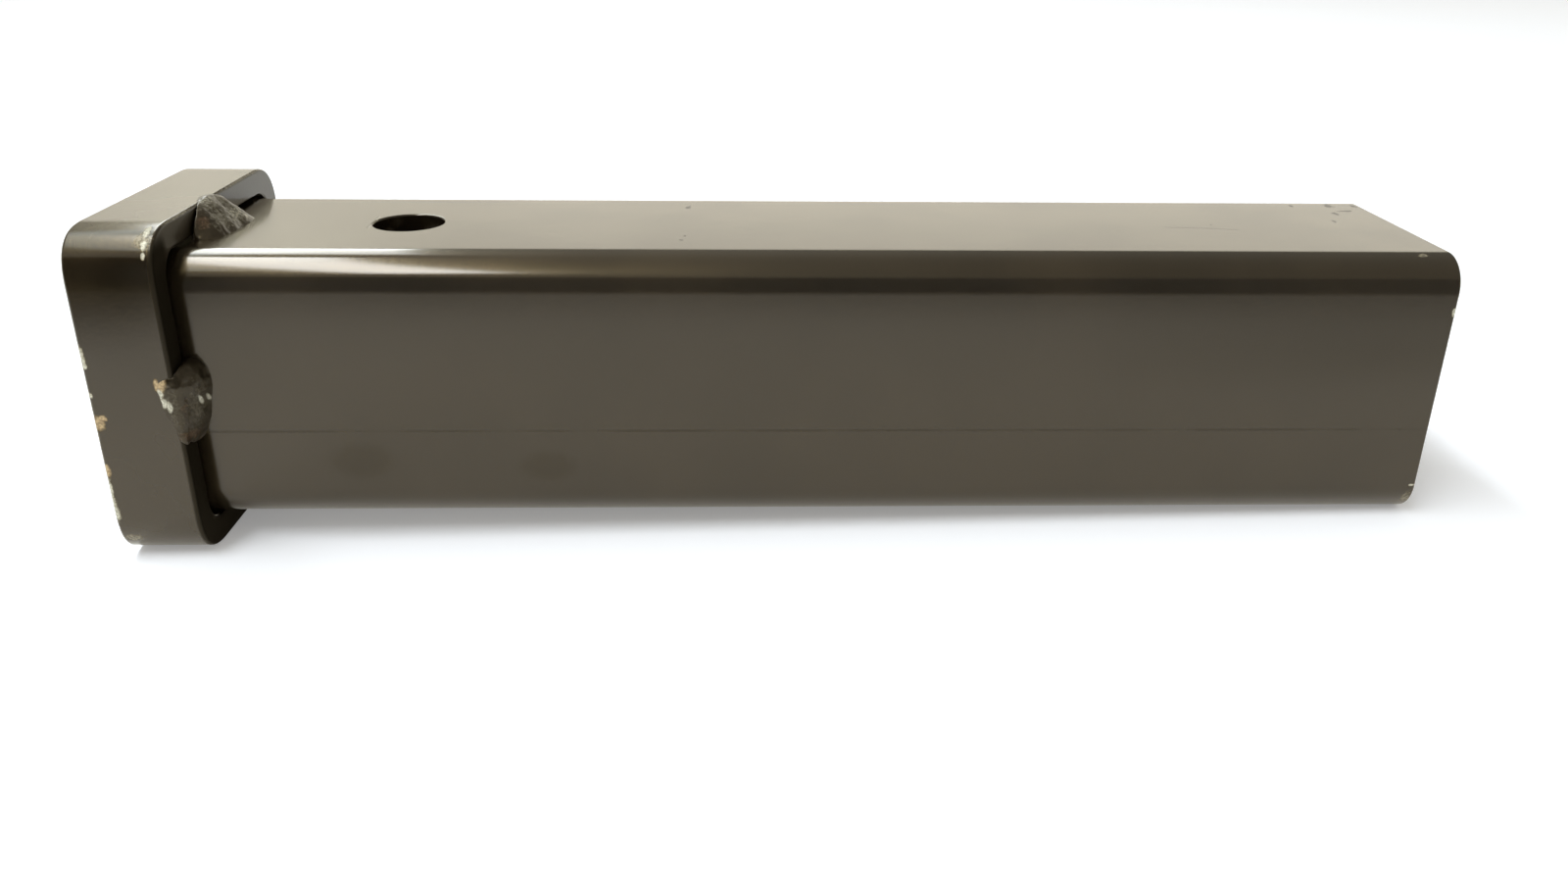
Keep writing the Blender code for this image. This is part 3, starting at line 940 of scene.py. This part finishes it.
def lay_floor():
    """A pale floor that touches the collar's lower back edge and the tube's lower rear edge."""
    size = 2 * FLOOR_HALF_SIZE
    bpy.ops.mesh.primitive_grid_add(x_subdivisions=FLOOR_CELLS, y_subdivisions=FLOOR_CELLS, size=size)
    floor = bpy.context.object
    floor.name = "floor"
    tilt = math.atan2(TUBE_LOW.z - COLLAR_LOW.z, REAR - COLLAR_BACK)
    turn = Matrix.Rotation(-tilt, 4, "Y")
    floor.data.transform(Matrix.Translation((COLLAR_BACK, 0, COLLAR_LOW.z)) @ turn)
    material, tree, shader = new_material("pale floor")
    constants = {
        "Roughness": FLOOR_ROUGHNESS,
        "Specular IOR Level": 0.0,
        "Base Color": (*FLOOR_COLOUR, 1.0),
        "Emission Color": (1.0, 1.0, 1.0, 1.0),
    }
    set_inputs(shader, constants)
    rays = add_node(tree, "ShaderNodeLightPath")
    seen = combine(tree, "MAXIMUM", rays.outputs["Is Camera Ray"], rays.outputs["Is Glossy Ray"])
    seen = combine(tree, "MAXIMUM", seen, rays.outputs["Is Transmission Ray"])
    axes = split(tree, add_node(tree, "ShaderNodeTexCoord").outputs["Object"])
    near = ramp(tree, axes["Y"], *FLOOR_FALL_NEAR)
    right = ramp(tree, axes["X"], *FLOOR_FALL_RIGHT)
    fall = multiply(tree, near, right, FLOOR_FALL)
    lift = multiply(tree, combine(tree, "SUBTRACT", 1.0, fall), FLOOR_LIFT)
    tree.links.new(multiply(tree, seen, lift), shader.inputs["Emission Strength"])
    floor.data.materials.append(material)


def stand_dark_card():
    """A dark card in front of the part, which the coat's upper corners mirror. It is darkest at
    its left end and thins out towards the floor."""
    bpy.ops.mesh.primitive_plane_add(size=1.0)
    card = bpy.context.object
    card.name = "dark_card"
    width, height = 2 * CARD_HALF_WIDTH, CARD_TOP - CARD_BOTTOM
    stand = Matrix.Rotation(math.radians(90), 4, "X") @ Matrix.Diagonal((width, height, 1, 1))
    card.data.transform(Matrix.Translation((0, -CARD_DISTANCE, CARD_BOTTOM + height / 2)) @ stand)
    material, tree, shader = new_material("dark card")
    axes = split(tree, add_node(tree, "ShaderNodeTexCoord").outputs["Object"])
    right = ramp(tree, axes["X"], *CARD_LEFT_BLEND)
    colour = blend_colour(tree, right, CARD_LEFT_COLOUR, CARD_COLOUR)
    tree.links.new(colour, shader.inputs["Base Color"])
    lowered = combine(tree, "SUBTRACT", axes["Z"], multiply(tree, right, CARD_LIFT_AT_RIGHT))
    tree.links.new(ramp(tree, lowered, CARD_BOTTOM, CARD_SOLID), shader.inputs["Alpha"])
    set_inputs(shader, {"Roughness": 1.0, "Specular IOR Level": 0.0})
    card.data.materials.append(material)
    card.visible_camera = False
    card.visible_diffuse = False
    card.visible_shadow = False


def hang_lamps():
    for name, lamp in LAMPS.items():
        light = bpy.data.lights.new(name, "AREA")
        light.shape = "RECTANGLE"
        light.size, light.size_y = lamp["size"]
        light.energy = lamp["radiance"] * math.pi * light.size * light.size_y
        light.color = lamp["colour"]
        holder = bpy.data.objects.new(name, light)
        direction = Vector(lamp["direction"]).normalized()
        place = direction * LAMP_DISTANCE + Vector((0, 0, AXIS_HEIGHT))
        across = Vector((0, 1, 0)).cross(direction).normalized()
        along = direction.cross(across)
        facing = Matrix((across, along, direction)).transposed().to_4x4()
        roll = Matrix.Rotation(lamp["roll"], 4, "Z")
        holder.matrix_world = Matrix.Translation(place) @ facing @ roll
        holder.visible_camera = False
        bpy.context.scene.collection.objects.link(holder)


def light_sky():
    """A pale dome with a bright wall behind the part."""
    world = bpy.data.worlds.new("pale dome")
    bpy.context.scene.world = world
    world.use_nodes = True
    tree = world.node_tree
    axes = split(tree, add_node(tree, "ShaderNodeTexCoord").outputs["Generated"])
    edge_low, edge_high = SKY_BAND_EDGE - SKY_EDGE_BLEND, SKY_BAND_EDGE + SKY_EDGE_BLEND
    band = ramp(tree, axes["Z"], edge_low, edge_high, SKY_BAND, 0.0)
    band_left = ramp(tree, axes["X"], *SKY_BAND_LEFT_BLEND, SKY_BAND_LEFT, 1.0)
    band_right = ramp(tree, axes["X"], *SKY_BAND_RIGHT_BLEND, 1.0, SKY_BAND_RIGHT)
    band = multiply(tree, band, band_left, band_right)
    sideways = ramp(tree, axes["X"], *SKY_RIGHT_BLEND, 1.0, SKY_RIGHT)
    above = ramp(tree, axes["Z"], SKY_BAND_EDGE, 1.0, SKY_DIM, SKY_OVERHEAD)
    above = multiply(tree, above, sideways)
    front = multiply(tree, sideways, SKY_IN_FRONT)
    wall = combine(tree, "SUBTRACT", combine(tree, "MAXIMUM", band, above), front)
    behind = ramp(tree, axes["Y"], *SKY_BEHIND_BLEND)
    level = combine(tree, "ADD", multiply(tree, wall, behind), front)
    background = tree.nodes["Background"]
    background.inputs["Color"].default_value = (*SKY_COLOUR, 1.0)
    tree.links.new(level, background.inputs["Strength"])


# The camera: found from the photograph's own lines, with the mouth's centre as a fixed point
CAMERA_PLACE = Vector((142.281, -298.659, 104.807)) * MM + Vector((MOUTH, 0, AXIS_HEIGHT))
CAMERA_PITCH = 0.41116
CAMERA_YAW = -0.03908
CAMERA_ROLL = 0.01327
CAMERA_LENS = 28.785
SENSOR_WIDTH = 36.0
CAMERA_NEAR_CLIP = 0.01


def place_camera():
    data = bpy.data.cameras.new("camera")
    data.sensor_width = SENSOR_WIDTH
    data.lens = CAMERA_LENS
    data.clip_start = CAMERA_NEAR_CLIP
    camera = bpy.data.objects.new("camera", data)
    across = Vector((math.cos(CAMERA_YAW), math.sin(CAMERA_YAW), 0))
    ahead = Vector((-math.sin(CAMERA_YAW), math.cos(CAMERA_YAW), 0))
    sky = Vector((0, 0, 1))
    forward = math.cos(CAMERA_PITCH) * ahead - math.sin(CAMERA_PITCH) * sky
    up = math.sin(CAMERA_PITCH) * ahead + math.cos(CAMERA_PITCH) * sky
    right = math.cos(CAMERA_ROLL) * across + math.sin(CAMERA_ROLL) * up
    top = -math.sin(CAMERA_ROLL) * across + math.cos(CAMERA_ROLL) * up
    facing = Matrix((right, top, -forward)).transposed().to_4x4()
    camera.matrix_world = Matrix.Translation(CAMERA_PLACE) @ facing
    bpy.context.scene.collection.objects.link(camera)
    bpy.context.scene.camera = camera


pick_none()
place_camera()
bpy.context.scene.view_settings.view_transform = "Standard"
tube_coat, collar_coat, weld_coat = make_materials()
dress(model_tube(), "tube", tube_coat)
dress(model_collar(), "collar", collar_coat)
for node, name, outwards, melting in BEADS:
    dress(model_bead(node, name, Vector(outwards), melting), node, weld_coat)
lay_floor()
stand_dark_card()
hang_lamps()
light_sky()
